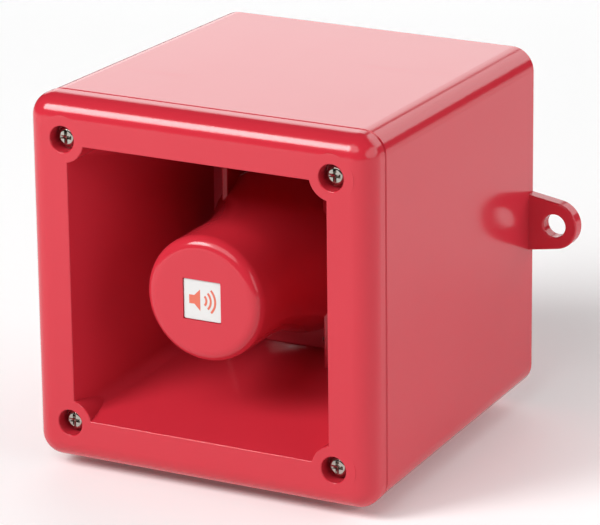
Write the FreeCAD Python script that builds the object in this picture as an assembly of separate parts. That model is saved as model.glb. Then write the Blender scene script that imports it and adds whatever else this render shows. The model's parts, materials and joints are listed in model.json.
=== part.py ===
import FreeCAD, Part
import math
import os

# Wall-mounted alarm horn sounder with a square front and a folded horn.
# Frame: origin at the centre of the back face, +Z up, +X to the right when facing the horn,
# and the horn mouth faces -Y. All lengths are millimetres.
# A "depth" is measured from the front face towards the wall, so y = depth - BODY_DEPTH.

# ---------------------------------------------------------------- housing
BODY_WIDTH = 130.0
BODY_DEPTH = 133.0
FLANGE_DEPTH = 11.0
DRAFT_PER_SIDE = 2.4
CORNER_RADIUS = 8.2
FRONT_RADIUS = 7.6
WALL = 3.0
SEAM_GAP = 0.8
EDGE_BREAK = 0.5
BACK_EDGE = 0.8
RIM_RADIUS = 0.4

LEDGE_WIDTH = 2.6
LEDGE_THICKNESS = 3.0
GASKET_THICKNESS = 1.5
GASKET_WIDTH = 2.3
GASKET_GAP = 0.1

LUG_SPACING = 145.2
LUG_THICKNESS = 4.7
LUG_END_RADIUS = 8.5
LUG_ROOT_HALF_HEIGHT = 10.5
LUG_HOLE_RADIUS = 4.2
LUG_EDGE_RADIUS = 0.6

# ---------------------------------------------------------------- cover fixings
SCREW_OFFSET = 50.7
COUNTERBORE_RADIUS = 4.6
HEAD_TOP_DEPTH = 2.8
HEAD_HEIGHT = 2.5
HEAD_RADIUS = 3.5
HEAD_EDGE_RADIUS = 1.5
SEAL_THICKNESS = 0.6
MOUTH_BOSS_RADIUS = 8.3
MOUTH_BOSS_DEPTH = 16.0
TUBE_RADIUS = 5.5
TUBE_END_DEPTH = 23.8
COLUMN_GAP = 0.2
COLUMN_RIB_SETBACK = 6.0
COLUMN_RIB_HALF = 1.0
M4_RADIUS = 2.0
M4_CLEARANCE_RADIUS = 2.2
INSERT_RADIUS = 2.9
INSERT_LENGTH = 8.0
COVER_SCREW_LENGTH = 30.0
COVER_RECESS = (2.2, 1.3, 1.7)
RECESS_TIP_RADIUS = 0.6

# ---------------------------------------------------------------- horn
MOUTH_HALF = 49.0
MOUTH_SLOPE = 0.26
MOUTH_CURVE = 0.0012
HORN_WALL = 2.5
HORN_DEPTH = 78.0
HORN_PLATE = 3.0
MOUTH_CORNER = 4.0
THROAT_CORNER = 3.0
HORN_SPANS = 4

NOSE_DEPTH = 3.4
NOSE_RADIUS = 22.0
NOSE_EDGE_RADIUS = 4.2
BULLET_STRAIGHT_END = 28.0
BULLET_FLARE_RADIUS = 84.0
BULLET_RIM_DEPTH = 64.0
BULLET_WALL = 2.2
FIN_X = 19.6
FIN_THICKNESS = 2.3
FIN_FRONT_DEPTH = 56.0
FIN_EDGE_RADIUS = 0.5
FOOT_DEPTH = 70.0
FOOT_INNER_RADIUS = 30.6
FIN_CLEARANCE = 0.2

BADGE_SIZE = 14.0
BADGE_THICKNESS = 0.5
BADGE_POCKET_DEPTH = 1.0
BADGE_GAP = 0.2
BADGE_CORNER = 0.6

THROAT_FRONT_DEPTH = 20.0
THROAT_WALL = 1.8
THROAT_REAR_BORE = 7.0
THROAT_FRONT_BORE = 9.5
THROAT_FLANGE_RADIUS = 15.0
THROAT_FLANGE_THICKNESS = 1.5
THROAT_SEAT_GAP = 0.2

BULLET_SCREW_X = 12.0
BULLET_SCREW_Z = 33.2
SMALL_SCREW_RADIUS = 1.4
BULLET_SCREW_HEAD = (2.7, 1.6)
BULLET_SCREW_LENGTH = 8.0
BULLET_SCREW_RECESS = 3.0
BULLET_SCREW_SEAT = 1.2
HEAD_SLOT_WIDTH = 0.8
HEAD_SLOT_DEPTH = 0.8

# ---------------------------------------------------------------- driver
DRIVER_HALF = 45.0
DRIVER_CORNER = 12.0
DRIVER_SCREW_X = 41.0
DRIVER_SCREW_Z = 22.0
DRIVER_SCREW_HEAD = (3.0, 2.0)
DRIVER_SCREW_LENGTH = 16.0
DRIVER_POST_RADIUS = 4.0
DRIVER_HOLE_RADIUS = 1.8
DRIVER_POST_DEPTH = 66.0
DRIVER_GASKET = 1.0
DRIVER_PLATE = 4.0
DRIVER_BOSS_DEPTH = 90.0
DRIVER_BOSS_RADIUS = 33.0
CHAMBER_RADIUS = 19.0
CHAMBER_DEPTH = 86.4
THROAT_MOUTH_RADIUS = 14.0
PHASE_CONE_RADIUS = 10.5
PHASE_TIP_RADIUS = 1.2
PHASE_TIP_LEAD = 1.5
PHASE_FIN_THICKNESS = 1.4
COIL_RADIUS = 13.0
COIL_THICKNESS = 0.4
COIL_LENGTH = 6.5
MAGNET_GAP = 0.5
DOME_RISE = 3.2
DOME_THICKNESS = 0.4
DOME_SETBACK = 1.0
SURROUND_OUTER = 25.0
SURROUND_ROLL = 1.6
SURROUND_SEAT_GAP = 0.6
SURROUND_BEND = 1.0
SURROUND_SKEW = (0.2, 0.3)
CLAMP_THICKNESS = 1.6
TOP_PLATE_THICKNESS = 4.0
MAGNET_THICKNESS = 9.0
MAGNET_OUTER = 27.0
MAGNET_INNER = 17.0
MAGNET_CHAMFER = 0.8
YOKE_THICKNESS = 4.0
YOKE_VENT_RADIUS = 3.0
TOP_SCREW_CIRCLE = 29.5
TOP_SCREW_HEAD = (2.4, 1.8)
TOP_SCREW_LENGTH = 9.0
TOP_SCREW_HOLE = 1.7

# the two driver tags stand on the edge of the driver plate, beside the circuit board's edge
TAG_X = 36.0
TAG_Z = (-8.0, -3.0)
TAG_BASE = 2.0
TAG_HEIGHT = 5.0
TAG_THICKNESS = 0.8
TAG_WIDTH = 2.4
LEAD_RADIUS = 0.8
LEAD_BEND = 5.0
LEAD_BOARD_X = 41.0

# ---------------------------------------------------------------- circuit board
BOARD_HALF = 46.0
BOARD_THICKNESS = 1.6
BOARD_FRONT_DEPTH = 121.4
BOARD_SCREW_OFFSET = 40.0
BOARD_SCREW_HEAD = (2.8, 2.0)
BOARD_SCREW_LENGTH = 8.0
BOARD_HEAD_EDGE = 0.7
BOARD_RECESS = (1.6, 0.6, 1.1)
BOARD_HOLE_RADIUS = 1.7
BOARD_CORNER = 4.0
POST_RADIUS = 3.4

SWITCH_WAYS = 5
SWITCH_PITCH = 2.54
SWITCH_X = -12.0
SWITCH_Z = -20.0
SWITCH_HALF_WIDTH = 3.6
SWITCH_HEIGHT = 5.0
SWITCH_SLOT_DEPTH = 1.6
SWITCH_TRAVEL = 2.0
SLIDER_WIDTH = 1.2
SLIDER_HEIGHT = 1.9
SLIDER_GAP = 0.15
SLIDER_LIFT = 0.2

VOLUME_X = 14.0
VOLUME_Z = -20.0
VOLUME_SIZE = 9.5
VOLUME_HEIGHT = 5.0
ROTOR_RADIUS = 3.4
ROTOR_DEPTH = 2.1
ROTOR_PROUD = 0.6
ROTOR_GAP = 0.06
ROTOR_SLOT = (2.6, 0.5)
ROTOR_POINTER = (3.0, 0.3, 0.4)
VOLUME_TURN = 270.0

TERMINAL_WAYS = 8
TERMINAL_PITCH = 5.0
TERMINAL_Z = -38.5
TERMINAL_HEIGHT = 10.0
TERMINAL_HALF_WIDTH = 4.5
TERMINAL_SCREW_RADIUS = 1.7
TERMINAL_SCREW_OFFSET = 0.5
TERMINAL_SLOT_WIDTH = 0.6
TERMINAL_HOLE_GAP = 0.3
# in one terminal the screw, cage and room lie at these depths behind the block's front face
TERMINAL_SCREW_TOP = 1.2
TERMINAL_CAGE_TOP = 4.4
TERMINAL_CAGE_END = 7.8
TERMINAL_CAGE_HALF = 1.7
TERMINAL_CAGE_REACH = (3.0, 2.9)
TERMINAL_CAGE_WALL = 0.7
TERMINAL_ROOM_TOP = 4.0
TERMINAL_ROOM_END = 8.0
TERMINAL_ROOM_HALF = 1.8
TERMINAL_ROOM_REACH = 3.0

# block sizes across (X), up (Z) and out from the board
TRANSFORMER_X = 38.5
TRANSFORMER_Z = 20.0
TRANSFORMER_WIDTH = 13.0
TRANSFORMER_LENGTH = 18.0
TRANSFORMER_HEIGHT = 17.0
TRANSFORMER_LEG = 3.5
WINDOW_NEAR = 2.5
WINDOW_FAR = 6.0
WINDING_GROWTH = 1.8
WINDING_HALF_HEIGHT = 4.6
WINDING_HALF_LENGTH = 5.6
WINDING_CORNER = 1.6

# each capacitor: place across, place up, radius, height
CAPACITORS = [(-38.0, 26.0, 5.0, 16.0), (-38.0, 13.5, 5.0, 16.0), (-26.0, 20.0, 4.0, 10.0)]
CAPACITOR_EDGE = 0.8
# each chip: place across, place up, width, length, height, legs a side
CHIPS = [(0.0, 10.0, 16.0, 8.0, 2.2, 9), (-21.5, 6.0, 5.0, 4.0, 1.6, 4), (17.0, 21.0, 6.0, 6.0, 2.0, 4)]
CHIP_LIFT = 0.4
LEG_WIDTH = 0.6
LEG_REACH = 1.2
LEG_HEIGHT = 0.8

HEAT_SINK_X = -38.0
HEAT_SINK_Z = -4.0
HEAT_SINK_HEIGHT = 15.0
HEAT_SINK_LENGTH = 18.0
HEAT_SINK_SPINE = 2.0
HEAT_SINK_REACH = 5.5
HEAT_SINK_FINS = 4
HEAT_SINK_FIN = 1.6
TRANSISTOR_OFFSET = 4.5
TRANSISTOR_THICKNESS = 4.2
TRANSISTOR_HALF = 4.0
TRANSISTOR_HEIGHT = 9.0
TRANSISTOR_LIFT = 3.0
TRANSISTOR_LEG_PITCH = 2.5

# ---------------------------------------------------------------- cable entries
ENTRY_X = 26.0
ENTRY_DEPTH = 106.0
ENTRY_RADIUS = 10.15
ENTRY_PAD_RADIUS = 15.0
ENTRY_PAD_HEIGHT = 2.0
SPOT_FACE_RADIUS = 13.2
PLUG_BODY_RADIUS = 9.9
PLUG_BODY_LENGTH = 13.0
PLUG_WALL = 2.5
PLUG_HEAD_RADIUS = 12.5
PLUG_HEAD_HEIGHT = 4.0
PLUG_HEAD_EDGE = 1.2
PLUG_SLOT = (16.0, 2.0, 1.6)
PLUG_SEAL_HEIGHT = 1.5
PLUG_SEAL_INSET = 0.8
PLUG_SEAL_GAP = 0.05
PLUG_NUT_RADIUS = 14.0
PLUG_NUT_HEIGHT = 3.5

# ---------------------------------------------------------------- worked out from the above
DRIVER_GASKET_DEPTH = HORN_DEPTH + HORN_PLATE
DRIVER_PLATE_DEPTH = DRIVER_GASKET_DEPTH + DRIVER_GASKET
CLAMP_DEPTH = DRIVER_BOSS_DEPTH + DOME_THICKNESS
TOP_PLATE_DEPTH = CLAMP_DEPTH + CLAMP_THICKNESS
MAGNET_DEPTH = TOP_PLATE_DEPTH + TOP_PLATE_THICKNESS
YOKE_DEPTH = MAGNET_DEPTH + MAGNET_THICKNESS
TAG_END_DEPTH = DRIVER_PLATE_DEPTH + DRIVER_PLATE + TAG_HEIGHT
HEAD_FLOOR_DEPTH = HEAD_TOP_DEPTH + HEAD_HEIGHT + SEAL_THICKNESS
HORN_STATIONS = [HORN_DEPTH * span / HORN_SPANS for span in range(HORN_SPANS + 1)]
INNER_CORNER_RADIUS = CORNER_RADIUS - WALL

# how far a cutting shape runs past the face it opens, and how far a fused feature runs into another
PAST = 1.0
OVERLAP = 0.5

ALONG_Y = FreeCAD.Vector(0, 1, 0)
CORNERS = [(-1, -1), (1, -1), (-1, 1), (1, 1)]


# ================================================================ helpers
def y_at(depth):
    return depth - BODY_DEPTH


def point(x, y, z):
    return FreeCAD.Vector(x, y, z)


def draft(depth):
    return DRAFT_PER_SIDE * depth / BODY_DEPTH


def outer_half(depth):
    return BODY_WIDTH / 2 - draft(depth)


def rod(x, z, radius, depth0, depth1):
    return Part.makeCylinder(radius, depth1 - depth0, point(x, y_at(depth0), z), ALONG_Y)


def ring(x, z, outer, inner, depth0, depth1):
    return rod(x, z, outer, depth0, depth1).cut(rod(x, z, inner, depth0, depth1))


def block(x0, x1, depth0, depth1, z0, z1):
    corner = point(x0, y_at(depth0), z0)
    return Part.makeBox(x1 - x0, depth1 - depth0, z1 - z0, corner)


def rounded_square(half, radius, depth):
    y = y_at(depth)
    inner = half - radius
    diagonal = inner + radius * math.sqrt(0.5)
    edges = []
    for quarter in range(4):
        turn = math.radians(90 * quarter)
        along = (math.cos(turn), math.sin(turn))
        across = (-math.sin(turn), math.cos(turn))

        def place(a, b):
            x = a * along[0] + b * across[0]
            z = a * along[1] + b * across[1]
            return point(x, y, z)

        edges.append(Part.makeLine(place(half, -inner), place(half, inner)))
        arc = Part.Arc(place(half, inner), place(diagonal, diagonal), place(inner, half))
        edges.append(arc.toShape())
    return Part.Wire(edges)


def prism(half, radius, depth0, depth1):
    face = Part.Face(rounded_square(half, radius, depth0))
    return face.extrude(point(0, depth1 - depth0, 0))


def turned(edges):
    face = Part.Face(Part.Wire(edges))
    return face.revolve(point(0, 0, 0), ALONG_Y, 360)


def turned_polygon(corners):
    points = [point(radius, y_at(depth), 0) for radius, depth in corners]
    points.append(points[0])
    return turned([Part.makePolygon(points)])


def line(start, end):
    (r0, d0), (r1, d1) = start, end
    return Part.makeLine(point(r0, y_at(d0), 0), point(r1, y_at(d1), 0))


def arc(start, middle, end):
    places = [point(radius, y_at(depth), 0) for radius, depth in (start, middle, end)]
    return Part.Arc(*places).toShape()


def cut_all(shape, tools):
    for tool in tools:
        shape = shape.cut(tool)
    return shape


def at_corners(make, offset):
    return [make(sx * offset, sz * offset) for sx, sz in CORNERS]


def fillet_where(shape, radius, wanted):
    edges = [edge for edge in shape.Edges if wanted(edge)]
    return shape.makeFillet(radius, edges).Solids[0]


def lies_at(edge, depth):
    return all(abs(vertex.Y - y_at(depth)) < 1e-4 for vertex in edge.Vertexes)


def reach_of(edge):
    """How far an edge gets from the horn's axis, sideways or up and down."""
    box = edge.BoundBox
    return max(-box.XMin, box.XMax, -box.ZMin, box.ZMax)


def export(name, shapes):
    solids = [solid for shape in shapes for solid in shape.Solids]
    for solid in solids:
        assert solid.isValid() and solid.Volume > 0, name
    whole = solids[0] if len(solids) == 1 else Part.makeCompound(solids)
    whole.exportStep("parts/" + name + ".step")


# ================================================================ housing
def insert_column(x, z):
    start = TUBE_END_DEPTH + COLUMN_GAP
    column = rod(x, z, TUBE_RADIUS, start, BODY_DEPTH - WALL)
    hole = rod(x, z, INSERT_RADIUS, start - PAST, start + INSERT_LENGTH)
    tip = rod(x, z, M4_CLEARANCE_RADIUS, start, start + 2 * INSERT_LENGTH)
    side = math.copysign(1, x)
    wall_x = side * (outer_half(BODY_DEPTH) - WALL)
    x_ends = sorted((x + side * (TUBE_RADIUS - PAST), wall_x))
    rib = block(x_ends[0], x_ends[1], start + COLUMN_RIB_SETBACK, BODY_DEPTH - WALL,
                z - COLUMN_RIB_HALF, z + COLUMN_RIB_HALF)
    return column.fuse(rib).cut(hole).cut(tip)


def lug(side):
    hole_x = side * LUG_SPACING / 2
    root_x = side * (outer_half(BODY_DEPTH) - WALL / 2)
    slope = math.asin((LUG_ROOT_HALF_HEIGHT - LUG_END_RADIUS) / abs(hole_x - root_x))
    tangent_x = hole_x + side * LUG_END_RADIUS * math.sin(slope)
    tangent_z = LUG_END_RADIUS * math.cos(slope)
    front = BODY_DEPTH - LUG_THICKNESS
    y = y_at(front)
    top = point(tangent_x, y, tangent_z)
    tip = point(hole_x + side * LUG_END_RADIUS, y, 0)
    bottom = point(tangent_x, y, -tangent_z)
    root_top = point(root_x, y, LUG_ROOT_HALF_HEIGHT)
    root_bottom = point(root_x, y, -LUG_ROOT_HALF_HEIGHT)
    edges = [Part.makeLine(root_top, top), Part.Arc(top, tip, bottom).toShape()]
    edges += [Part.makeLine(bottom, root_bottom), Part.makeLine(root_bottom, root_top)]
    plate = Part.Face(Part.Wire(edges)).extrude(point(0, LUG_THICKNESS, 0))
    plate = plate.cut(rod(hole_x, 0, LUG_HOLE_RADIUS, front - PAST, BODY_DEPTH + PAST))
    return fillet_where(plate, LUG_EDGE_RADIUS,
                        lambda edge: lies_at(edge, front) and edge.BoundBox.XLength > PAST)


def entry_wall_z():
    return -outer_half(ENTRY_DEPTH)


def entry_seat_z():
    # the spot face is level with the sloping wall at its rear edge, so it is flat all round
    return -outer_half(ENTRY_DEPTH + SPOT_FACE_RADIUS)


def entry_inner_z():
    return entry_wall_z() + WALL + ENTRY_PAD_HEIGHT


def vertical_rod(x, radius, z0, z1):
    return Part.makeCylinder(radius, z1 - z0, point(x, y_at(ENTRY_DEPTH), z0))


def entry_hole(x):
    below = -BODY_WIDTH / 2 - PAST
    hole = vertical_rod(x, ENTRY_RADIUS, below, entry_inner_z() + PAST)
    return hole.fuse(vertical_rod(x, SPOT_FACE_RADIUS, below, entry_seat_z()))


def entry_pad(x):
    # a flat pad inside the bottom wall gives the gland's nut a level seat
    return vertical_rod(x, ENTRY_PAD_RADIUS, entry_wall_z() + WALL / 2, entry_inner_z())


def rear_enclosure():
    front = outer_half(FLANGE_DEPTH)
    back = outer_half(BODY_DEPTH)
    rim = FLANGE_DEPTH + SEAM_GAP
    outer = Part.makeLoft([rounded_square(front - EDGE_BREAK, CORNER_RADIUS, rim),
                           rounded_square(front, CORNER_RADIUS, rim + EDGE_BREAK),
                           rounded_square(back, CORNER_RADIUS, BODY_DEPTH - BACK_EDGE),
                           rounded_square(back - BACK_EDGE, CORNER_RADIUS, BODY_DEPTH)], True, True)
    inner_end = BODY_DEPTH - WALL
    room_back = outer_half(inner_end) - WALL
    room = Part.makeLoft([rounded_square(front - WALL, INNER_CORNER_RADIUS, rim),
                          rounded_square(room_back, INNER_CORNER_RADIUS, inner_end)], True, True)
    ledge_depth = FLANGE_DEPTH + GASKET_THICKNESS
    ledge_end = ledge_depth + LEDGE_THICKNESS
    ledge = prism(front - WALL + OVERLAP, INNER_CORNER_RADIUS, ledge_depth, ledge_end)
    opening = front - WALL - LEDGE_WIDTH
    ledge = ledge.cut(prism(opening, INNER_CORNER_RADIUS, ledge_depth - PAST, ledge_end + PAST))
    columns = at_corners(insert_column, SCREW_OFFSET)
    posts = at_corners(board_post, BOARD_SCREW_OFFSET)
    entries = (-ENTRY_X, ENTRY_X)
    pads = [entry_pad(x) for x in entries]
    shell = outer.cut(room).fuse([ledge] + columns + posts + pads + [lug(-1), lug(1)])
    return cut_all(shell, [entry_hole(x) for x in entries]).removeSplitter()


def board_post(x, z):
    start = BOARD_FRONT_DEPTH + BOARD_THICKNESS
    post = rod(x, z, POST_RADIUS, start, BODY_DEPTH - WALL + OVERLAP)
    return post.cut(rod(x, z, SMALL_SCREW_RADIUS, start, BODY_DEPTH - WALL))


def cover_gasket():
    outer = outer_half(FLANGE_DEPTH) - WALL - GASKET_GAP
    end = FLANGE_DEPTH + GASKET_THICKNESS
    seal = prism(outer, INNER_CORNER_RADIUS, FLANGE_DEPTH, end)
    return seal.cut(prism(outer - GASKET_WIDTH, INNER_CORNER_RADIUS, FLANGE_DEPTH, end))


def threaded_insert(x, z):
    start = TUBE_END_DEPTH + COLUMN_GAP
    return ring(x, z, INSERT_RADIUS, M4_RADIUS, start, start + INSERT_LENGTH)


# ================================================================ screws
def cross_recess(x, z, depth, size):
    # two crossed slots whose ends taper in towards the bottom; the size is arm, width and depth
    arm, width, recess = size
    wide = block(x - arm, x + arm, depth, depth + recess, z - width / 2, z + width / 2)
    tall = block(x - width / 2, x + width / 2, depth, depth + recess, z - arm, z + arm)
    taper = Part.makeCone(arm, RECESS_TIP_RADIUS, recess, point(x, y_at(depth), z), ALONG_Y)
    return wide.fuse(tall).common(taper)


def cover_screw(x, z):
    head_end = HEAD_TOP_DEPTH + HEAD_HEIGHT
    head = rod(x, z, HEAD_RADIUS, HEAD_TOP_DEPTH, head_end)
    head = fillet_where(head, HEAD_EDGE_RADIUS, lambda edge: lies_at(edge, HEAD_TOP_DEPTH))
    shank = rod(x, z, M4_RADIUS, head_end, head_end + COVER_SCREW_LENGTH)
    return head.fuse(shank).cut(cross_recess(x, z, HEAD_TOP_DEPTH, COVER_RECESS))


def cover_screw_seal(x, z):
    start = HEAD_TOP_DEPTH + HEAD_HEIGHT
    return ring(x, z, HEAD_RADIUS, M4_CLEARANCE_RADIUS, start, start + SEAL_THICKNESS)


def screw_from_behind(x, z, head_depth, head_size, shank_length):
    # slotted head on the wall side, shank pointing to the front
    head_radius, head_height = head_size
    seat = head_depth - head_height
    head = rod(x, z, head_radius, seat, head_depth)
    shank = rod(x, z, SMALL_SCREW_RADIUS, seat - shank_length, seat)
    slot = block(x - head_radius, x + head_radius, head_depth - HEAD_SLOT_DEPTH, head_depth + PAST,
                 z - HEAD_SLOT_WIDTH / 2, z + HEAD_SLOT_WIDTH / 2)
    return head.fuse(shank).cut(slot)


# ================================================================ horn
def mouth_half(depth):
    return MOUTH_HALF - MOUTH_SLOPE * depth + MOUTH_CURVE * depth ** 2


def horn_shape(offset):
    """The horn's square passage, or its outside when offset by the wall."""
    wires = []
    for depth in HORN_STATIONS:
        corner = MOUTH_CORNER + (THROAT_CORNER - MOUTH_CORNER) * depth / HORN_DEPTH + max(offset, 0)
        wires.append(rounded_square(mouth_half(depth) + offset, corner, depth))
    return Part.makeLoft(wires, True)


def bullet_screw_places():
    return [(sx * BULLET_SCREW_X, sz * BULLET_SCREW_Z) for sx, sz in CORNERS]


def driver_screw_places():
    return [(sx * DRIVER_SCREW_X, sz * DRIVER_SCREW_Z) for sx, sz in CORNERS]


def horn_holes():
    rear = HORN_DEPTH + HORN_PLATE
    holes = at_corners(lambda x, z: rod(x, z, COUNTERBORE_RADIUS, -PAST, HEAD_FLOOR_DEPTH), SCREW_OFFSET)
    holes += at_corners(lambda x, z: rod(x, z, M4_CLEARANCE_RADIUS, 0, TUBE_END_DEPTH + PAST), SCREW_OFFSET)
    for x, z in driver_screw_places():
        holes.append(rod(x, z, SMALL_SCREW_RADIUS, DRIVER_POST_DEPTH + PAST, rear))
    for x, z in bullet_screw_places():
        holes.append(rod(x, z, SMALL_SCREW_RADIUS + THROAT_SEAT_GAP, HORN_DEPTH, rear))
        holes.append(rod(x, z, BULLET_SCREW_RECESS, HORN_DEPTH + BULLET_SCREW_SEAT, rear))
    tube_hole = THROAT_REAR_BORE + THROAT_WALL + THROAT_SEAT_GAP
    holes.append(rod(0, 0, tube_hole, HORN_DEPTH - PAST, rear + PAST))
    seat = rear - THROAT_FLANGE_THICKNESS
    holes.append(rod(0, 0, THROAT_FLANGE_RADIUS + THROAT_SEAT_GAP, seat, rear + PAST))
    return holes


def horn_front():
    half = BODY_WIDTH / 2
    flange = prism(half, CORNER_RADIUS, 0, FLANGE_DEPTH)
    flange = fillet_where(flange, FRONT_RADIUS, lambda edge: lies_at(edge, 0))
    flange = fillet_where(flange, EDGE_BREAK, lambda edge: lies_at(edge, FLANGE_DEPTH))
    plate = prism(DRIVER_HALF + PAST, DRIVER_CORNER, HORN_DEPTH, HORN_DEPTH + HORN_PLATE)
    posts = [rod(x, z, DRIVER_POST_RADIUS, DRIVER_POST_DEPTH, HORN_DEPTH + PAST)
             for x, z in driver_screw_places()]
    tubes = at_corners(lambda x, z: rod(x, z, TUBE_RADIUS, FLANGE_DEPTH - PAST, TUBE_END_DEPTH),
                       SCREW_OFFSET)
    shell = flange.fuse([horn_shape(HORN_WALL), plate] + posts + tubes)
    bosses = at_corners(lambda x, z: rod(x, z, MOUTH_BOSS_RADIUS, 0, MOUTH_BOSS_DEPTH), SCREW_OFFSET)
    shell = shell.cut(cut_all(horn_shape(0), bosses))
    inside = prism(half - WALL - LEDGE_WIDTH, CORNER_RADIUS, 0, MOUTH_BOSS_DEPTH)
    shell = shell.fuse([boss.common(inside) for boss in bosses])
    shell = cut_all(shell, horn_holes()).removeSplitter()
    rim_reach = SCREW_OFFSET + COUNTERBORE_RADIUS + OVERLAP
    return fillet_where(shell, RIM_RADIUS, lambda edge: lies_at(edge, 0) and reach_of(edge) < rim_reach)


def bullet_outer_radius(depth, wall):
    run = depth - BULLET_STRAIGHT_END
    swing = math.sqrt((BULLET_FLARE_RADIUS + wall) ** 2 - run ** 2)
    return NOSE_RADIUS + BULLET_FLARE_RADIUS - swing


def bullet_profile(wall):
    # nose disc, rounded nose edge, straight barrel, then a flare that opens towards the rear rim
    edge = NOSE_EDGE_RADIUS - wall
    barrel = NOSE_RADIUS - wall
    top = NOSE_DEPTH + wall
    half = edge * (1 - math.sqrt(0.5))
    middle = (BULLET_STRAIGHT_END + BULLET_RIM_DEPTH) / 2
    rim = BULLET_RIM_DEPTH
    flare_middle = (bullet_outer_radius(middle, wall), middle)
    flare_end = (bullet_outer_radius(rim, wall), rim)
    return [line((0, rim), (0, top)),
            line((0, top), (barrel - edge, top)),
            arc((barrel - edge, top), (barrel - half, top + half), (barrel, top + edge)),
            line((barrel, top + edge), (barrel, BULLET_STRAIGHT_END)),
            arc((barrel, BULLET_STRAIGHT_END), flare_middle, flare_end),
            line(flare_end, (0, rim))]


def fin_pair():
    # two thin upright fins carry the bullet above and below; a foot joins them at the rear plate
    half = FIN_THICKNESS / 2
    fins = []
    for x in (-FIN_X, FIN_X):
        fin = block(x - half, x + half, FIN_FRONT_DEPTH, HORN_DEPTH, -MOUTH_HALF, MOUTH_HALF)
        fins.append(fillet_where(fin, FIN_EDGE_RADIUS, lambda edge: lies_at(edge, FIN_FRONT_DEPTH)
                                 and edge.BoundBox.ZLength > MOUTH_HALF))
    foot = block(-FIN_X, FIN_X, FOOT_DEPTH, HORN_DEPTH, -MOUTH_HALF, MOUTH_HALF)
    return fins[0].fuse([fins[1], foot])


def horn_bullet():
    solid = turned(bullet_profile(0))
    hollow = turned(bullet_profile(BULLET_WALL))
    fins = fin_pair().cut(rod(0, 0, FOOT_INNER_RADIUS, BULLET_RIM_DEPTH, HORN_DEPTH))
    fins = fins.common(horn_shape(-FIN_CLEARANCE))
    pocket = BADGE_SIZE / 2 + BADGE_GAP
    holes = [hollow, block(-pocket, pocket, 0, NOSE_DEPTH + BADGE_POCKET_DEPTH, -pocket, pocket)]
    for x, z in bullet_screw_places():
        holes.append(rod(x, z, SMALL_SCREW_RADIUS, FOOT_DEPTH - PAST, HORN_DEPTH + PAST))
    return cut_all(solid.fuse(fins), holes).removeSplitter()


def badge_plate():
    half = BADGE_SIZE / 2
    floor = NOSE_DEPTH + BADGE_POCKET_DEPTH
    plate = block(-half, half, floor - BADGE_THICKNESS, floor, -half, half)
    return fillet_where(plate, BADGE_CORNER, lambda edge: edge.BoundBox.YLength > BADGE_THICKNESS / 2)


def throat_tube():
    rear = HORN_DEPTH + HORN_PLATE
    seat = rear - THROAT_FLANGE_THICKNESS
    front_outer = THROAT_FRONT_BORE + THROAT_WALL
    rear_outer = THROAT_REAR_BORE + THROAT_WALL
    return turned_polygon([(THROAT_FRONT_BORE, THROAT_FRONT_DEPTH), (front_outer, THROAT_FRONT_DEPTH),
                           (rear_outer, HORN_DEPTH - PAST), (rear_outer, seat),
                           (THROAT_FLANGE_RADIUS, seat), (THROAT_FLANGE_RADIUS, rear),
                           (THROAT_REAR_BORE, rear)])


def bullet_screws():
    head_depth = HORN_DEPTH + BULLET_SCREW_SEAT + BULLET_SCREW_HEAD[1]
    return [screw_from_behind(x, z, head_depth, BULLET_SCREW_HEAD, BULLET_SCREW_LENGTH)
            for x, z in bullet_screw_places()]


# ================================================================ driver
def top_screw_places():
    turns = [math.radians(45 + 90 * quarter) for quarter in range(4)]
    return [(TOP_SCREW_CIRCLE * math.cos(turn), TOP_SCREW_CIRCLE * math.sin(turn)) for turn in turns]


def driver_gasket():
    seal = prism(DRIVER_HALF, DRIVER_CORNER, DRIVER_GASKET_DEPTH, DRIVER_PLATE_DEPTH)
    holes = [rod(0, 0, THROAT_FLANGE_RADIUS - WALL, DRIVER_GASKET_DEPTH, DRIVER_PLATE_DEPTH)]
    for x, z in driver_screw_places():
        holes.append(rod(x, z, DRIVER_HOLE_RADIUS, DRIVER_GASKET_DEPTH, DRIVER_PLATE_DEPTH))
    return cut_all(seal, holes)


def driver_front_plate():
    start = DRIVER_PLATE_DEPTH
    plate = prism(DRIVER_HALF, DRIVER_CORNER, start, start + DRIVER_PLATE)
    plate = plate.fuse(rod(0, 0, DRIVER_BOSS_RADIUS, start, DRIVER_BOSS_DEPTH))
    throat = turned_polygon([(0, start - PAST), (THROAT_REAR_BORE, start - PAST), (THROAT_REAR_BORE, start),
                             (THROAT_MOUTH_RADIUS, CHAMBER_DEPTH), (0, CHAMBER_DEPTH)])
    holes = [throat, rod(0, 0, CHAMBER_RADIUS, CHAMBER_DEPTH, DRIVER_BOSS_DEPTH + PAST)]
    for x, z in driver_screw_places():
        holes.append(rod(x, z, DRIVER_HOLE_RADIUS, start - PAST, DRIVER_BOSS_DEPTH))
    hole_start = MAGNET_DEPTH - TOP_SCREW_LENGTH - PAST
    for x, z in top_screw_places():
        holes.append(rod(x, z, SMALL_SCREW_RADIUS, hole_start, DRIVER_BOSS_DEPTH + PAST))
    return cut_all(plate, holes).removeSplitter()


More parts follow.
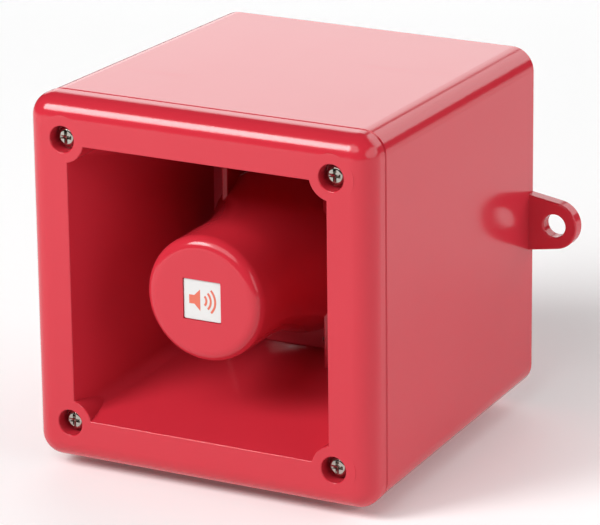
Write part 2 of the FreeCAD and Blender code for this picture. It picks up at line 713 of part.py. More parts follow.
def phase_plug():
    # a cone in the middle of the throat, held by three radial fins
    tip = DRIVER_PLATE_DEPTH - PHASE_TIP_LEAD
    fin_start = DRIVER_PLATE_DEPTH + OVERLAP
    cone = turned_polygon([(0, tip), (PHASE_TIP_RADIUS, tip + PHASE_TIP_RADIUS / 2),
                           (PHASE_CONE_RADIUS, CHAMBER_DEPTH), (0, CHAMBER_DEPTH)])
    reach = turned_polygon([(0, fin_start), (THROAT_REAR_BORE, fin_start),
                            (THROAT_MOUTH_RADIUS, CHAMBER_DEPTH), (0, CHAMBER_DEPTH)])
    half = PHASE_FIN_THICKNESS / 2
    fins = []
    for third in range(3):
        fin = block(0, THROAT_MOUTH_RADIUS, fin_start, CHAMBER_DEPTH, -half, half)
        fin.rotate(point(0, 0, 0), ALONG_Y, 120 * third)
        fins.append(fin.common(reach))
    return cone.fuse(fins).removeSplitter()


def diaphragm():
    # a thin dome, its crown towards the throat, whose rim carries the coil
    rim = COIL_RADIUS + COIL_THICKNESS
    base = DRIVER_BOSS_DEPTH + DOME_SETBACK
    crown = base - DOME_RISE
    bulge = (rim ** 2 + DOME_RISE ** 2) / (2 * DOME_RISE)
    inner = bulge - DOME_THICKNESS
    centre = crown + bulge
    inner_rim = math.sqrt(inner ** 2 - (centre - base) ** 2)
    half_outer = rim / 2
    half_inner = inner_rim / 2
    outer_mid = (half_outer, centre - math.sqrt(bulge ** 2 - half_outer ** 2))
    inner_mid = (half_inner, centre - math.sqrt(inner ** 2 - half_inner ** 2))
    return turned([arc((0, crown), outer_mid, (rim, base)),
                   line((rim, base), (inner_rim, base)),
                   arc((inner_rim, base), inner_mid, (0, crown + DOME_THICKNESS)),
                   line((0, crown + DOME_THICKNESS), (0, crown))])


def voice_coil():
    start = DRIVER_BOSS_DEPTH + DOME_SETBACK
    return ring(0, 0, COIL_RADIUS + COIL_THICKNESS, COIL_RADIUS, start, start + COIL_LENGTH)


def diaphragm_surround():
    # a flat ring with one rolled corrugation between the dome and the clamp
    inner = COIL_RADIUS + COIL_THICKNESS + MAGNET_GAP
    front = DRIVER_BOSS_DEPTH
    back = front + DOME_THICKNESS
    crest = front - SURROUND_ROLL
    crest_back = crest + DOME_THICKNESS
    seat = CHAMBER_RADIUS - SURROUND_SEAT_GAP
    bends = [inner + step * SURROUND_BEND for step in (1, 2, 3)]
    shift, seat_shift = SURROUND_SKEW
    front_side = [(inner, front), (bends[0], front), (bends[1], crest), (bends[2], crest),
                  (seat, front), (SURROUND_OUTER, front)]
    back_side = [(SURROUND_OUTER, back), (seat - seat_shift, back), (bends[2] - shift, crest_back),
                 (bends[1] + shift, crest_back), (bends[0] + shift, back), (inner, back)]
    return turned_polygon(front_side + back_side)


def diaphragm_clamp_ring():
    clamp = ring(0, 0, DRIVER_BOSS_RADIUS, CHAMBER_RADIUS, CLAMP_DEPTH, TOP_PLATE_DEPTH)
    lip = ring(0, 0, DRIVER_BOSS_RADIUS, SURROUND_OUTER + GASKET_GAP, DRIVER_BOSS_DEPTH, CLAMP_DEPTH)
    holes = [rod(x, z, TOP_SCREW_HOLE, DRIVER_BOSS_DEPTH, TOP_PLATE_DEPTH) for x, z in top_screw_places()]
    return cut_all(clamp.fuse(lip), holes).removeSplitter()


def driver_top_plate():
    bore = COIL_RADIUS + COIL_THICKNESS + MAGNET_GAP
    plate = ring(0, 0, DRIVER_BOSS_RADIUS, bore, TOP_PLATE_DEPTH, MAGNET_DEPTH)
    holes = [rod(x, z, TOP_SCREW_HOLE, TOP_PLATE_DEPTH, MAGNET_DEPTH) for x, z in top_screw_places()]
    return cut_all(plate, holes)


def driver_magnet():
    magnet = ring(0, 0, MAGNET_OUTER, MAGNET_INNER, MAGNET_DEPTH, YOKE_DEPTH)
    rims = [edge for edge in magnet.Edges
            if edge.BoundBox.XLength > 2 * MAGNET_OUTER - PAST and len(edge.Vertexes) == 1]
    return magnet.makeChamfer(MAGNET_CHAMFER, rims)


def driver_yoke():
    pole = rod(0, 0, COIL_RADIUS - MAGNET_GAP, TOP_PLATE_DEPTH, YOKE_DEPTH)
    end = YOKE_DEPTH + YOKE_THICKNESS
    disc = rod(0, 0, MAGNET_OUTER, YOKE_DEPTH, end)
    vent = rod(0, 0, YOKE_VENT_RADIUS, TOP_PLATE_DEPTH - PAST, end + PAST)
    return pole.fuse(disc).cut(vent).removeSplitter()


def top_plate_screws():
    return [screw_from_behind(x, z, MAGNET_DEPTH + TOP_SCREW_HEAD[1], TOP_SCREW_HEAD, TOP_SCREW_LENGTH)
            for x, z in top_screw_places()]


def driver_screws():
    head_depth = DRIVER_PLATE_DEPTH + DRIVER_PLATE + DRIVER_SCREW_HEAD[1]
    return [screw_from_behind(x, z, head_depth, DRIVER_SCREW_HEAD, DRIVER_SCREW_LENGTH)
            for x, z in driver_screw_places()]


def driver_terminals():
    base_depth = DRIVER_PLATE_DEPTH + DRIVER_PLATE
    strip = block(TAG_X - TAG_BASE, TAG_X + TAG_BASE, base_depth, base_depth + TAG_BASE,
                  TAG_Z[0] - TAG_BASE, TAG_Z[1] + TAG_BASE)
    tags = [block(TAG_X - TAG_THICKNESS / 2, TAG_X + TAG_THICKNESS / 2, base_depth + TAG_BASE, TAG_END_DEPTH,
                  z - TAG_WIDTH / 2, z + TAG_WIDTH / 2) for z in TAG_Z]
    return [strip] + tags


def driver_lead(z):
    # back from the tag, across to the board's edge, then straight back to its solder pad
    bend = LEAD_BEND
    step = LEAD_BOARD_X - TAG_X
    turn = math.acos(1 - step / (2 * bend))
    half = turn / 2
    middle_depth = (TAG_END_DEPTH + BOARD_FRONT_DEPTH) / 2
    run = bend * math.sin(turn)
    aside = bend * (1 - math.cos(half))
    along = bend * math.sin(half)
    start = point(TAG_X, y_at(TAG_END_DEPTH), z)
    first = point(TAG_X, y_at(middle_depth - run), z)
    first_mid = point(TAG_X + aside, first.y + along, z)
    centre = point((TAG_X + LEAD_BOARD_X) / 2, y_at(middle_depth), z)
    second = point(LEAD_BOARD_X, y_at(middle_depth + run), z)
    second_mid = point(LEAD_BOARD_X - aside, second.y - along, z)
    end = point(LEAD_BOARD_X, y_at(BOARD_FRONT_DEPTH), z)
    path = Part.Wire([Part.makeLine(start, first), Part.Arc(first, first_mid, centre).toShape(),
                      Part.Arc(centre, second_mid, second).toShape(), Part.makeLine(second, end)])
    section = Part.Wire([Part.makeCircle(LEAD_RADIUS, start, ALONG_Y)])
    return path.makePipeShell([section], True, False)


# ================================================================ circuit board
def circuit_board():
    board = prism(BOARD_HALF, BOARD_CORNER, BOARD_FRONT_DEPTH, BOARD_FRONT_DEPTH + BOARD_THICKNESS)
    return cut_all(board, at_corners(lambda x, z: rod(x, z, BOARD_HOLE_RADIUS, BOARD_FRONT_DEPTH, BODY_DEPTH),
                                     BOARD_SCREW_OFFSET))


def board_screw(x, z):
    head_radius, head_height = BOARD_SCREW_HEAD
    top = BOARD_FRONT_DEPTH - head_height
    head = rod(x, z, head_radius, top, BOARD_FRONT_DEPTH)
    head = fillet_where(head, BOARD_HEAD_EDGE, lambda edge: lies_at(edge, top))
    shank = rod(x, z, SMALL_SCREW_RADIUS, BOARD_FRONT_DEPTH, BOARD_FRONT_DEPTH + BOARD_SCREW_LENGTH)
    return head.fuse(shank).cut(cross_recess(x, z, top, BOARD_RECESS))


def on_board(x0, x1, height, z0, z1, lift=0.0):
    front = BOARD_FRONT_DEPTH - lift - height
    return block(x0, x1, front, BOARD_FRONT_DEPTH - lift, z0, z1)


def centred_on_board(x, z, width, length, height, lift=0.0):
    return on_board(x - width / 2, x + width / 2, height, z - length / 2, z + length / 2, lift)


def transformer_core():
    # a laminated block with two windows that the winding passes through
    x, z = TRANSFORMER_X, TRANSFORMER_Z
    outer = centred_on_board(x, z, TRANSFORMER_WIDTH, TRANSFORMER_LENGTH, TRANSFORMER_HEIGHT)
    window_height = TRANSFORMER_HEIGHT - 2 * TRANSFORMER_LEG
    windows = []
    for side in (-1, 1):
        z_ends = sorted((z + side * WINDOW_NEAR, z + side * WINDOW_FAR))
        windows.append(on_board(x - TRANSFORMER_WIDTH, x + TRANSFORMER_WIDTH, window_height,
                                z_ends[0], z_ends[1], TRANSFORMER_LEG))
    return cut_all(outer, windows)


def transformer_winding():
    half_width = TRANSFORMER_WIDTH / 2
    depth = BOARD_FRONT_DEPTH - TRANSFORMER_HEIGHT / 2
    outer = block(TRANSFORMER_X - half_width - WINDING_GROWTH, TRANSFORMER_X + half_width + WINDING_GROWTH,
                  depth - WINDING_HALF_HEIGHT, depth + WINDING_HALF_HEIGHT,
                  TRANSFORMER_Z - WINDING_HALF_LENGTH, TRANSFORMER_Z + WINDING_HALF_LENGTH)
    outer = fillet_where(outer, WINDING_CORNER, lambda edge: edge.BoundBox.YLength > WINDING_HALF_HEIGHT)
    core = block(TRANSFORMER_X - half_width, TRANSFORMER_X + half_width,
                 depth - WINDING_HALF_HEIGHT - PAST, depth + WINDING_HALF_HEIGHT + PAST,
                 TRANSFORMER_Z - WINDOW_NEAR, TRANSFORMER_Z + WINDOW_NEAR)
    return outer.cut(core)


def capacitor(x, z, radius, height):
    front = BOARD_FRONT_DEPTH - height
    can = rod(x, z, radius, front, BOARD_FRONT_DEPTH)
    return fillet_where(can, CAPACITOR_EDGE, lambda edge: lies_at(edge, front))


def chip(x, z, width, length, height, legs_a_side):
    body = centred_on_board(x, z, width, length, height, CHIP_LIFT)
    extras = [centred_on_board(x, z, width - 2 * PAST, length - 2 * PAST, CHIP_LIFT)]
    pitch = width / legs_a_side
    for way in range(legs_a_side):
        leg_x = x + (way - (legs_a_side - 1) / 2) * pitch
        for side in (-1, 1):
            leg_z = z + side * (length + LEG_REACH) / 2
            extras.append(centred_on_board(leg_x, leg_z, LEG_WIDTH, LEG_REACH, LEG_HEIGHT))
    return body.fuse(extras).removeSplitter()


def heat_sink():
    x, z = HEAT_SINK_X, HEAT_SINK_Z
    spine = centred_on_board(x, z, HEAT_SINK_SPINE, HEAT_SINK_LENGTH, HEAT_SINK_HEIGHT)
    step = (HEAT_SINK_LENGTH - HEAT_SINK_FIN) / (HEAT_SINK_FINS - 1)
    fins = []
    for fin in range(HEAT_SINK_FINS):
        low = z - HEAT_SINK_LENGTH / 2 + fin * step
        fins.append(on_board(x - HEAT_SINK_REACH, x, HEAT_SINK_HEIGHT, low, low + HEAT_SINK_FIN))
    return spine.fuse(fins).removeSplitter()


def power_transistor(z):
    near = HEAT_SINK_X + HEAT_SINK_SPINE / 2
    middle = near + TRANSISTOR_THICKNESS / 2
    body = on_board(near, near + TRANSISTOR_THICKNESS, TRANSISTOR_HEIGHT,
                    z - TRANSISTOR_HALF, z + TRANSISTOR_HALF, TRANSISTOR_LIFT)
    legs = [centred_on_board(middle, z + way * TRANSISTOR_LEG_PITCH, LEG_HEIGHT, LEG_HEIGHT, TRANSISTOR_LIFT)
            for way in (-1, 0, 1)]
    return body.fuse(legs).removeSplitter()


def switch_places():
    middle = (SWITCH_WAYS - 1) / 2
    return [SWITCH_X + (way - middle) * SWITCH_PITCH for way in range(SWITCH_WAYS)]


def tone_switch_body():
    length = SWITCH_WAYS * SWITCH_PITCH + SLIDER_WIDTH
    body = centred_on_board(SWITCH_X, SWITCH_Z, length, 2 * SWITCH_HALF_WIDTH, SWITCH_HEIGHT)
    slot_width = SLIDER_WIDTH + 2 * SLIDER_GAP
    slot_length = slot_width + SWITCH_TRAVEL
    slots = [centred_on_board(x, SWITCH_Z, slot_width, slot_length, SWITCH_HEIGHT,
                              SWITCH_HEIGHT - SWITCH_SLOT_DEPTH) for x in switch_places()]
    return cut_all(body, slots)


def tone_slider(x):
    # rests at the lower, OFF end of its slot and stands proud of the switch
    z = SWITCH_Z - SWITCH_TRAVEL / 2
    lift = SWITCH_HEIGHT - SWITCH_SLOT_DEPTH + SLIDER_LIFT
    return centred_on_board(x, z, SLIDER_WIDTH, SLIDER_WIDTH, SLIDER_HEIGHT, lift)


def volume_control_body():
    body = centred_on_board(VOLUME_X, VOLUME_Z, VOLUME_SIZE, VOLUME_SIZE, VOLUME_HEIGHT)
    front = BOARD_FRONT_DEPTH - VOLUME_HEIGHT
    well = rod(VOLUME_X, VOLUME_Z, ROTOR_RADIUS + ROTOR_GAP, front - PAST, front + ROTOR_DEPTH + GASKET_GAP)
    return body.cut(well)


def volume_control_rotor():
    front = BOARD_FRONT_DEPTH - VOLUME_HEIGHT
    top = front - ROTOR_PROUD
    rotor = rod(VOLUME_X, VOLUME_Z, ROTOR_RADIUS, top, front + ROTOR_DEPTH)
    arm, half = ROTOR_SLOT
    reach, half_mark, mark_depth = ROTOR_POINTER
    slot = block(VOLUME_X - arm, VOLUME_X + arm, top - PAST, front + half, VOLUME_Z - half, VOLUME_Z + half)
    pointer = block(VOLUME_X - half_mark, VOLUME_X + half_mark, top - PAST, top + mark_depth,
                    VOLUME_Z, VOLUME_Z + reach)
    rotor = rotor.cut(slot).cut(pointer)
    rotor.rotate(point(VOLUME_X, 0, VOLUME_Z), ALONG_Y, -VOLUME_TURN / 2)
    return rotor


def terminal_places():
    middle = (TERMINAL_WAYS - 1) / 2
    return [(way - middle) * TERMINAL_PITCH for way in range(TERMINAL_WAYS)]


def terminal_block():
    length = TERMINAL_WAYS * TERMINAL_PITCH
    body = centred_on_board(0, TERMINAL_Z, length, 2 * TERMINAL_HALF_WIDTH, TERMINAL_HEIGHT)
    front = BOARD_FRONT_DEPTH - TERMINAL_HEIGHT
    room_top = front + TERMINAL_ROOM_TOP
    hole_radius = TERMINAL_SCREW_RADIUS + TERMINAL_HOLE_GAP
    holes = []
    for x in terminal_places():
        holes.append(rod(x, TERMINAL_Z + TERMINAL_SCREW_OFFSET, hole_radius, front - PAST, room_top))
        holes.append(block(x - TERMINAL_ROOM_HALF, x + TERMINAL_ROOM_HALF,
                           room_top, front + TERMINAL_ROOM_END,
                           TERMINAL_Z - TERMINAL_HALF_WIDTH - PAST, TERMINAL_Z + TERMINAL_ROOM_REACH))
    return cut_all(body, holes)


def terminal_screw(x):
    front = BOARD_FRONT_DEPTH - TERMINAL_HEIGHT
    z = TERMINAL_Z + TERMINAL_SCREW_OFFSET
    top = front + TERMINAL_SCREW_TOP
    radius = TERMINAL_SCREW_RADIUS
    half_slot = TERMINAL_SLOT_WIDTH / 2
    screw = rod(x, z, radius, top, front + TERMINAL_CAGE_TOP)
    slot = block(x - radius, x + radius, top - PAST, top + HEAD_SLOT_DEPTH, z - half_slot, z + half_slot)
    return screw.cut(slot)


def terminal_clamp(x):
    # a cage with a closed upper end, open below where the wire comes in
    top = BOARD_FRONT_DEPTH - TERMINAL_HEIGHT + TERMINAL_CAGE_TOP
    end = BOARD_FRONT_DEPTH - TERMINAL_HEIGHT + TERMINAL_CAGE_END
    half, wall = TERMINAL_CAGE_HALF, TERMINAL_CAGE_WALL
    below, above = TERMINAL_CAGE_REACH
    cage = block(x - half, x + half, top, end, TERMINAL_Z - below, TERMINAL_Z + above)
    return cage.cut(block(x - half + wall, x + half - wall, top + wall, end - wall,
                          TERMINAL_Z - below - PAST, TERMINAL_Z + above - wall))


# ================================================================ blanking plug in the second entry
def blanking_plug():
    top = entry_seat_z() - PLUG_SEAL_HEIGHT
    low = top - PLUG_HEAD_HEIGHT
    head = vertical_rod(ENTRY_X, PLUG_HEAD_RADIUS, low, top)
    head = fillet_where(head, PLUG_HEAD_EDGE, lambda edge: edge.BoundBox.ZMax < low + 0.01)
    body = vertical_rod(ENTRY_X, PLUG_BODY_RADIUS, top, top + PLUG_BODY_LENGTH)
    bore = vertical_rod(ENTRY_X, PLUG_BODY_RADIUS - PLUG_WALL, top + PAST, top + PLUG_BODY_LENGTH + PAST)
    length, width, depth = PLUG_SLOT
    slot = Part.makeBox(length, width, depth, point(ENTRY_X - length / 2, y_at(ENTRY_DEPTH) - width / 2, low))
    return head.fuse(body).cut(bore).cut(slot).removeSplitter()


def blanking_plug_seal():
    top = entry_seat_z()
    low = top - PLUG_SEAL_HEIGHT
    seal = vertical_rod(ENTRY_X, PLUG_HEAD_RADIUS - PLUG_SEAL_INSET, low, top)
    return seal.cut(vertical_rod(ENTRY_X, PLUG_BODY_RADIUS + PLUG_SEAL_GAP, low - PAST, top + PAST))


def blanking_plug_nut():
    base = entry_inner_z()
    corners = []
    for step in range(7):
        turn = math.radians(60 * step)
        across = PLUG_NUT_RADIUS * math.cos(turn)
        along = PLUG_NUT_RADIUS * math.sin(turn)
        corners.append(point(ENTRY_X + across, y_at(ENTRY_DEPTH) + along, base))
    nut = Part.Face(Part.makePolygon(corners)).extrude(point(0, 0, PLUG_NUT_HEIGHT))
    return nut.cut(vertical_rod(ENTRY_X, PLUG_BODY_RADIUS, base - PAST, base + PLUG_NUT_HEIGHT + PAST))


# ================================================================ write every piece
def write_all():
    os.makedirs("parts", exist_ok=True)
    export("rear_enclosure", [rear_enclosure()])
    export("horn_front", [horn_front()])
    export("horn_bullet", [horn_bullet()])
    export("badge_plate", [badge_plate()])
    export("cover_gasket", [cover_gasket()])
    export("cover_screws", at_corners(cover_screw, SCREW_OFFSET))
    export("cover_screw_seals", at_corners(cover_screw_seal, SCREW_OFFSET))
    export("threaded_inserts", at_corners(threaded_insert, SCREW_OFFSET))
    export("throat_tube", [throat_tube()])
    export("bullet_screws", bullet_screws())
    export("driver_gasket", [driver_gasket()])
    export("driver_front_plate", [driver_front_plate()])
    export("driver_screws", driver_screws())
    export("phase_plug", [phase_plug()])
    export("diaphragm", [diaphragm()])
    export("voice_coil", [voice_coil()])
    export("diaphragm_surround", [diaphragm_surround()])
    export("diaphragm_clamp_ring", [diaphragm_clamp_ring()])
    export("driver_top_plate", [driver_top_plate()])
    export("top_plate_screws", top_plate_screws())
    export("driver_magnet", [driver_magnet()])
    export("driver_yoke", [driver_yoke()])
    export("driver_terminals", driver_terminals())
    export("driver_lead_positive", [driver_lead(TAG_Z[1])])
    export("driver_lead_negative", [driver_lead(TAG_Z[0])])
    export("circuit_board", [circuit_board()])
    export("circuit_board_screws", at_corners(board_screw, BOARD_SCREW_OFFSET))
    export("transformer_core", [transformer_core()])
    export("transformer_winding", [transformer_winding()])
    export("capacitors", [capacitor(*size) for size in CAPACITORS])
    export("integrated_circuits", [chip(*size) for size in CHIPS])
    export("heat_sink", [heat_sink()])
    export("power_transistors", [power_transistor(HEAT_SINK_Z + side * TRANSISTOR_OFFSET)
                                 for side in (-1, 1)])
    export("tone_switch_body", [tone_switch_body()])
    for way, x in enumerate(switch_places(), start=1):
        export("tone_slider_" + str(way), [tone_slider(x)])
    export("volume_control_body", [volume_control_body()])
    export("volume_control_rotor", [volume_control_rotor()])
    export("terminal_block", [terminal_block()])
    export("terminal_screws", [terminal_screw(x) for x in terminal_places()])
    export("terminal_clamps", [terminal_clamp(x) for x in terminal_places()])
    export("blanking_plug", [blanking_plug()])
    export("blanking_plug_seal", [blanking_plug_seal()])
    export("blanking_plug_nut", [blanking_plug_nut()])


write_all()
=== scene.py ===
import json
import math

import bmesh
import bpy
from mathutils import Matrix, Vector


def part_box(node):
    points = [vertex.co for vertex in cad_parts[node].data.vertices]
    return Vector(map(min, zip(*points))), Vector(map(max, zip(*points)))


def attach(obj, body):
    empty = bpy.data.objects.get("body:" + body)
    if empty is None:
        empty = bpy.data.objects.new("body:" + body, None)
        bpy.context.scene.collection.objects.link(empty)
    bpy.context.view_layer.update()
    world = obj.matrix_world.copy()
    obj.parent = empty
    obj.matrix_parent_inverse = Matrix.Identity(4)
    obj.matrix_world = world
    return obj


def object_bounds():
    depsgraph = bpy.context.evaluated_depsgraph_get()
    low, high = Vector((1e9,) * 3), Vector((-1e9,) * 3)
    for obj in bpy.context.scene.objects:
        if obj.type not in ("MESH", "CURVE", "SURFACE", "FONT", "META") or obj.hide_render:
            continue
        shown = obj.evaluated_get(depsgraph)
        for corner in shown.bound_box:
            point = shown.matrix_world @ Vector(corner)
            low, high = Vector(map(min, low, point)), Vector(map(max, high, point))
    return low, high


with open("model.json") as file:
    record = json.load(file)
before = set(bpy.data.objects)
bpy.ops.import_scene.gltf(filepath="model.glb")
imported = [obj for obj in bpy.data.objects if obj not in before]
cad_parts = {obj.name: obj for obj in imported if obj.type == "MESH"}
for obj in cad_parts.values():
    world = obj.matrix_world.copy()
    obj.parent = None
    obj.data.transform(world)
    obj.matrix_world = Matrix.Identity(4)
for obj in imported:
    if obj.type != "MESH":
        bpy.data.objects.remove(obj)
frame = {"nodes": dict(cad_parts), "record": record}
CAD_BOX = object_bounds()

# ---------------------------------------------------------------- view
# A long lens to the right of and above the horn mouth. The camera stands at a place
# counted from the middle of the front face, and turns by yaw, pitch and roll.
FOCAL_MM = 241.8
SENSOR_MM = 36.0
CAMERA_FROM_FRONT = (0.6236, -1.1070, 0.4376)
YAW, PITCH, ROLL = 0.4858, 0.3218, 0.0116


def front_centre():
    low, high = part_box("horn_front")
    return Vector(((low[0] + high[0]) / 2, low[1], (low[2] + high[2]) / 2))


def make_camera():
    forward = Vector((-math.sin(YAW) * math.cos(PITCH), math.cos(YAW) * math.cos(PITCH), -math.sin(PITCH)))
    level_right = Vector((math.cos(YAW), math.sin(YAW), 0.0))
    level_down = forward.cross(level_right)
    right = math.cos(ROLL) * level_right + math.sin(ROLL) * level_down
    down = -math.sin(ROLL) * level_right + math.cos(ROLL) * level_down
    data = bpy.data.cameras.new("camera")
    data.lens = FOCAL_MM
    data.sensor_width = SENSOR_MM
    data.clip_end = 20.0
    camera = bpy.data.objects.new("camera", data)
    bpy.context.scene.collection.objects.link(camera)
    place = front_centre() + Vector(CAMERA_FROM_FRONT)
    turn = Matrix((right, -down, -forward)).transposed().to_4x4()
    camera.matrix_world = Matrix.Translation(place) @ turn
    bpy.context.scene.camera = camera


# ---------------------------------------------------------------- light and floor
# Each lamp: name, place, width and height, power in watts. All lengths here are metres.
LAMPS = [
    ("key", (-0.85, -1.24, 1.05), (0.78, 0.78), 20.5),
    ("fill", (-0.2, -1.35, 1.25), (1.8, 1.1), 15.5),
    ("back", (-0.62, 1.10, 0.45), (1.2, 0.8), 4.7),
    ("back_above", (0.75, 1.75, 1.15), (2.0, 1.4), 15.0),
    ("right", (1.7, 0.1, 0.6), (2.8, 1.2), 19.0),
]
LAMP_TARGET = (0.0, -0.066, 0.0)
WORLD_STRENGTH = 0.03
FLOOR_HALF = 6.0
FLOOR_GAP = 0.0005
FLOOR_GREY = 0.94
FLOOR_ROUGHNESS = 0.7
FLOOR_GLOW = 0.06


def area_light(name, place, size, power):
    """A soft elliptical lamp that faces the middle of the object."""
    data = bpy.data.lights.new(name, "AREA")
    data.shape = "ELLIPSE"
    data.size, data.size_y = size
    data.energy = power
    lamp = bpy.data.objects.new(name, data)
    bpy.context.scene.collection.objects.link(lamp)
    lamp.location = place
    aim = Vector(LAMP_TARGET) - Vector(place)
    lamp.rotation_euler = aim.to_track_quat("-Z", "Y").to_euler()


def make_world():
    world = bpy.data.worlds.new("studio")
    world.use_nodes = True
    background = world.node_tree.nodes["Background"]
    background.inputs["Color"].default_value = (1.0, 1.0, 1.0, 1.0)
    background.inputs["Strength"].default_value = WORLD_STRENGTH
    bpy.context.scene.world = world


def make_floor():
    low, _ = CAD_BOX
    z = low[2] - FLOOR_GAP
    turns = [(-1, -1), (1, -1), (1, 1), (-1, 1)]
    mesh = bpy.data.meshes.new("floor")
    mesh.from_pydata([(x * FLOOR_HALF, y * FLOOR_HALF, z) for x, y in turns], [], [(0, 1, 2, 3)])
    floor = bpy.data.objects.new("floor", mesh)
    bpy.context.scene.collection.objects.link(floor)
    material = bpy.data.materials.new("floor_paper")
    material.use_nodes = True
    shader = material.node_tree.nodes["Principled BSDF"]
    shader.inputs["Base Color"].default_value = (FLOOR_GREY, FLOOR_GREY, FLOOR_GREY, 1)
    shader.inputs["Roughness"].default_value = FLOOR_ROUGHNESS
    shader.inputs["Emission Color"].default_value = (1, 1, 1, 1)
    shader.inputs["Emission Strength"].default_value = FLOOR_GLOW
    mesh.materials.append(material)


# ---------------------------------------------------------------- materials
class Nodes:
    """A few short calls that lay out one material's nodes."""

    def __init__(self, name):
        self.material = bpy.data.materials.new(name)
        self.material.use_nodes = True
        self.tree = self.material.node_tree
        self.shader = self.tree.nodes["Principled BSDF"]
        self.where = self.tree.nodes.new("ShaderNodeTexCoord").outputs["Object"]

    def join(self, source, target):
        self.tree.links.new(source, target)

    def noise(self, scale, detail=3.0, rough=0.5, distort=0.0, where=None):
        node = self.tree.nodes.new("ShaderNodeTexNoise")
        node.inputs["Scale"].default_value = scale
        node.inputs["Detail"].default_value = detail
        node.inputs["Roughness"].default_value = rough
        node.inputs["Distortion"].default_value = distort
        self.join(where or self.where, node.inputs["Vector"])
        return node.outputs["Fac"]

    def stretch(self, x, y, z):
        node = self.tree.nodes.new("ShaderNodeMapping")
        node.inputs["Scale"].default_value = (x, y, z)
        self.join(self.where, node.inputs["Vector"])
        return node.outputs["Vector"]

    def span(self, value, low, high, out_low, out_high):
        node = self.tree.nodes.new("ShaderNodeMapRange")
        limits = {"From Min": low, "From Max": high, "To Min": out_low, "To Max": out_high}
        for name, number in limits.items():
            node.inputs[name].default_value = number
        self.join(value, node.inputs["Value"])
        return node.outputs["Result"]

    def mix(self, share, first, second):
        node = self.tree.nodes.new("ShaderNodeMix")
        node.data_type = "RGBA"
        self.join(share, node.inputs["Factor"])
        for socket, colour in ((node.inputs["A"], first), (node.inputs["B"], second)):
            if isinstance(colour, tuple):
                socket.default_value = colour + (1.0,)
            else:
                self.join(colour, socket)
        return node.outputs["Result"]

    def add(self, first, second):
        node = self.tree.nodes.new("ShaderNodeMath")
        node.operation = "ADD"
        self.join(first, node.inputs[0])
        self.join(second, node.inputs[1])
        return node.outputs["Value"]

    def bump(self, height, strength, distance, under=None):
        node = self.tree.nodes.new("ShaderNodeBump")
        node.inputs["Strength"].default_value = strength
        node.inputs["Distance"].default_value = distance
        self.join(height, node.inputs["Height"])
        if under:
            self.join(under, node.inputs["Normal"])
        return node.outputs["Normal"]

    def set(self, **values):
        for name, value in values.items():
            self.shader.inputs[name.replace("_", " ")].default_value = value

    def feed(self, **sources):
        for name, source in sources.items():
            self.join(source, self.shader.inputs[name.replace("_", " ")])


# Noise scales are counted per metre. The spans pick the part of the noise that shows.
CLOUD_SCALE = 14.0
FLOW_SCALE = 60.0
SCUFF_SCALE = 170.0
SCUFF_SPAN = (0.66, 0.76)
SCUFF_DULLING = 0.07
SWELL_SCALE = 90.0
SWELL_HEIGHT = 0.0004
SKIN_HEIGHT = 0.0001
MIDDLE_SPAN = (0.3, 0.7)


def moulded(name, colour, darker, roughness, grain=0.02, grain_scale=2600.0, ior=1.5):
    """Moulded plastic: faint flow marks in the colour, uneven gloss, light scuffs and a fine skin texture."""
    n = Nodes(name)
    cloud = n.noise(CLOUD_SCALE, 4.0, 0.55)
    n.feed(Base_Color=n.mix(n.span(cloud, *MIDDLE_SPAN, 0.0, 1.0), colour, darker))
    flow = n.noise(FLOW_SCALE, 3.0, 0.5, 0.6, n.stretch(1.0, 0.15, 1.0))
    scuff = n.noise(SCUFF_SCALE, 2.0, 0.5, 1.2, n.stretch(0.1, 1.0, 1.0))
    gloss = n.span(flow, *MIDDLE_SPAN, roughness * 0.9, roughness * 1.15)
    n.feed(Roughness=n.add(gloss, n.span(scuff, *SCUFF_SPAN, 0.0, SCUFF_DULLING)))
    swell = n.bump(n.noise(SWELL_SCALE, 2.0, 0.5), 0.05, SWELL_HEIGHT)
    n.feed(Normal=n.bump(n.noise(grain_scale, 2.0, 0.6), grain, SKIN_HEIGHT, swell))
    n.set(IOR=ior)
    return n.material


def metal(name, colour, roughness, streak=(1.0, 1.0, 1.0), streak_scale=900.0):
    """Bare or plated metal with tool streaks and slightly dull blotches."""
    n = Nodes(name)
    grain = n.noise(streak_scale, 3.0, 0.6, 0.0, n.stretch(*streak))
    blotch = n.noise(220.0, 3.0, 0.5)
    dark = tuple(channel * 0.72 for channel in colour)
    n.feed(Base_Color=n.mix(n.span(blotch, 0.35, 0.75, 0.0, 1.0), colour, dark))
    n.feed(Roughness=n.span(grain, *MIDDLE_SPAN, roughness * 0.7, roughness * 1.4))
    n.feed(Normal=n.bump(grain, 0.08, SKIN_HEIGHT))
    n.set(Metallic=1.0)
    return n.material


def matt(name, colour, roughness=0.75, grain_scale=1500.0, grain=0.25):
    """Rubber, ferrite and other dull surfaces with a fine grain and lighter, dusty patches."""
    n = Nodes(name)
    cloud = n.noise(120.0, 4.0, 0.6)
    light = tuple(min(1.0, channel * 1.35 + 0.01) for channel in colour)
    n.feed(Base_Color=n.mix(n.span(cloud, 0.3, 0.75, 0.0, 1.0), colour, light))
    n.feed(Roughness=n.span(cloud, *MIDDLE_SPAN, roughness * 0.92, min(1.0, roughness * 1.08)))
    n.feed(Normal=n.bump(n.noise(grain_scale, 3.0, 0.6), grain, SKIN_HEIGHT))
    return n.material


RED = (0.572, 0.027, 0.045)
RED_DEEP = (0.552, 0.024, 0.041)

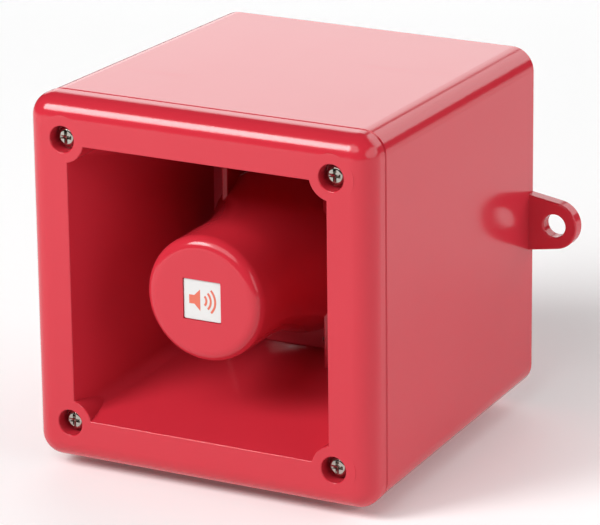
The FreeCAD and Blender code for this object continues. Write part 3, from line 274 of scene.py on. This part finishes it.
FINISHES = {
    "red_housing": lambda name: moulded(name, RED, RED_DEEP, 0.15, ior=1.45),
    "badge": lambda name: moulded(name, (0.70, 0.70, 0.69), (0.65, 0.65, 0.64), 0.3),
    "black_seal": lambda name: matt(name, (0.02, 0.02, 0.02), 0.8),
    "stainless": lambda name: metal(name, (0.44, 0.41, 0.37), 0.12),
    "brass": lambda name: metal(name, (0.72, 0.5, 0.2), 0.3),
    "black_plastic": lambda name: moulded(name, (0.02, 0.02, 0.021), (0.03, 0.03, 0.03), 0.42, 0.1),
    "plated_steel": lambda name: metal(name, (0.6, 0.6, 0.58), 0.3),
    "cast_aluminium": lambda name: metal(name, (0.58, 0.59, 0.6), 0.5),
    "resin_dome": lambda name: matt(name, (0.42, 0.22, 0.08), 0.5),
    "copper": lambda name: metal(name, (0.8, 0.35, 0.16), 0.3, (1.0, 30.0, 1.0)),
    "ferrite": lambda name: matt(name, (0.05, 0.05, 0.055), 0.6),
    "red_wire": lambda name: moulded(name, (0.55, 0.02, 0.02), (0.5, 0.02, 0.02), 0.35),
    "black_wire": lambda name: moulded(name, (0.02, 0.02, 0.02), (0.03, 0.03, 0.03), 0.35),
    "board": lambda name: moulded(name, (0.01, 0.13, 0.05), (0.015, 0.1, 0.04), 0.3),
    "lamination": lambda name: metal(name, (0.22, 0.22, 0.24), 0.5, (1.0, 1.0, 14.0)),
    "yellow_tape": lambda name: moulded(name, (0.7, 0.5, 0.05), (0.66, 0.46, 0.04), 0.25),
    "capacitor_sleeve": lambda name: moulded(name, (0.02, 0.03, 0.08), (0.02, 0.025, 0.07), 0.25),
    "chip_black": lambda name: matt(name, (0.03, 0.03, 0.032), 0.55),
    "black_aluminium": lambda name: metal(name, (0.05, 0.05, 0.052), 0.45),
    "switch_red": lambda name: moulded(name, (0.5, 0.02, 0.02), (0.45, 0.02, 0.02), 0.35),
    "switch_blue": lambda name: moulded(name, (0.02, 0.09, 0.42), (0.02, 0.08, 0.38), 0.35),
    "switch_white": lambda name: moulded(name, (0.8, 0.8, 0.77), (0.75, 0.75, 0.72), 0.4),
    "terminal_green": lambda name: moulded(name, (0.03, 0.26, 0.09), (0.03, 0.22, 0.08), 0.4),
}


def dress_nodes():
    finished = {name: make(name) for name, make in FINISHES.items()}
    for entry in frame["record"]["subparts"]:
        node = frame["nodes"][entry["node"]]
        node.data.materials.clear()
        node.data.materials.append(finished[entry["material_slot"]])


# ---------------------------------------------------------------- badge print
# Outlines are in plate widths, counted from the middle of the plate.
PRINT_DEPTH = 0.00006
SPEAKER = [(-0.36, -0.11), (-0.22, -0.11), (-0.06, -0.27), (-0.06, 0.27), (-0.22, 0.11), (-0.36, 0.11)]
WAVE_RADII = (0.14, 0.26, 0.38)
WAVE_WIDTH = 0.055
WAVE_REACH = math.radians(44)
WAVE_STEPS = 24


def wave(radius):
    """One sound wave: a band along an arc to the right of the loudspeaker."""
    turns = [WAVE_REACH * (2 * step / WAVE_STEPS - 1) for step in range(WAVE_STEPS + 1)]
    centre = SPEAKER[2][0]
    band = []
    for reach, order in ((radius, turns), (radius + WAVE_WIDTH, turns[::-1])):
        band += [(centre + reach * math.cos(turn), reach * math.sin(turn)) for turn in order]
    return band


def badge_print(material):
    """A printed loudspeaker with sound waves on the small plate in the middle of the nose."""
    low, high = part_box("badge_plate")
    size = high[0] - low[0]
    middle_x, middle_z = (low[0] + high[0]) / 2, (low[2] + high[2]) / 2
    mesh = bpy.data.meshes.new("badge_print")
    build = bmesh.new()
    for outline in [SPEAKER] + [wave(radius) for radius in WAVE_RADII]:
        loop = [build.verts.new((middle_x + x * size, low[1], middle_z + z * size)) for x, z in outline]
        face = build.faces.new(loop)
        raised = bmesh.ops.extrude_face_region(build, geom=[face])["geom"]
        moved = [item for item in raised if isinstance(item, bmesh.types.BMVert)]
        bmesh.ops.translate(build, verts=moved, vec=(0.0, -PRINT_DEPTH, 0.0))
    bmesh.ops.recalc_face_normals(build, faces=build.faces)
    build.to_mesh(mesh)
    build.free()
    piece = bpy.data.objects.new("badge_print", mesh)
    bpy.context.scene.collection.objects.link(piece)
    mesh.materials.append(material)
    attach(piece, "housing")


make_camera()
make_world()
make_floor()
dress_nodes()
badge_print(moulded("badge_ink", (0.70, 0.16, 0.10), (0.66, 0.13, 0.08), 0.4))
bpy.context.scene.view_settings.view_transform = "Standard"
for lamp in LAMPS:
    area_light(*lamp)
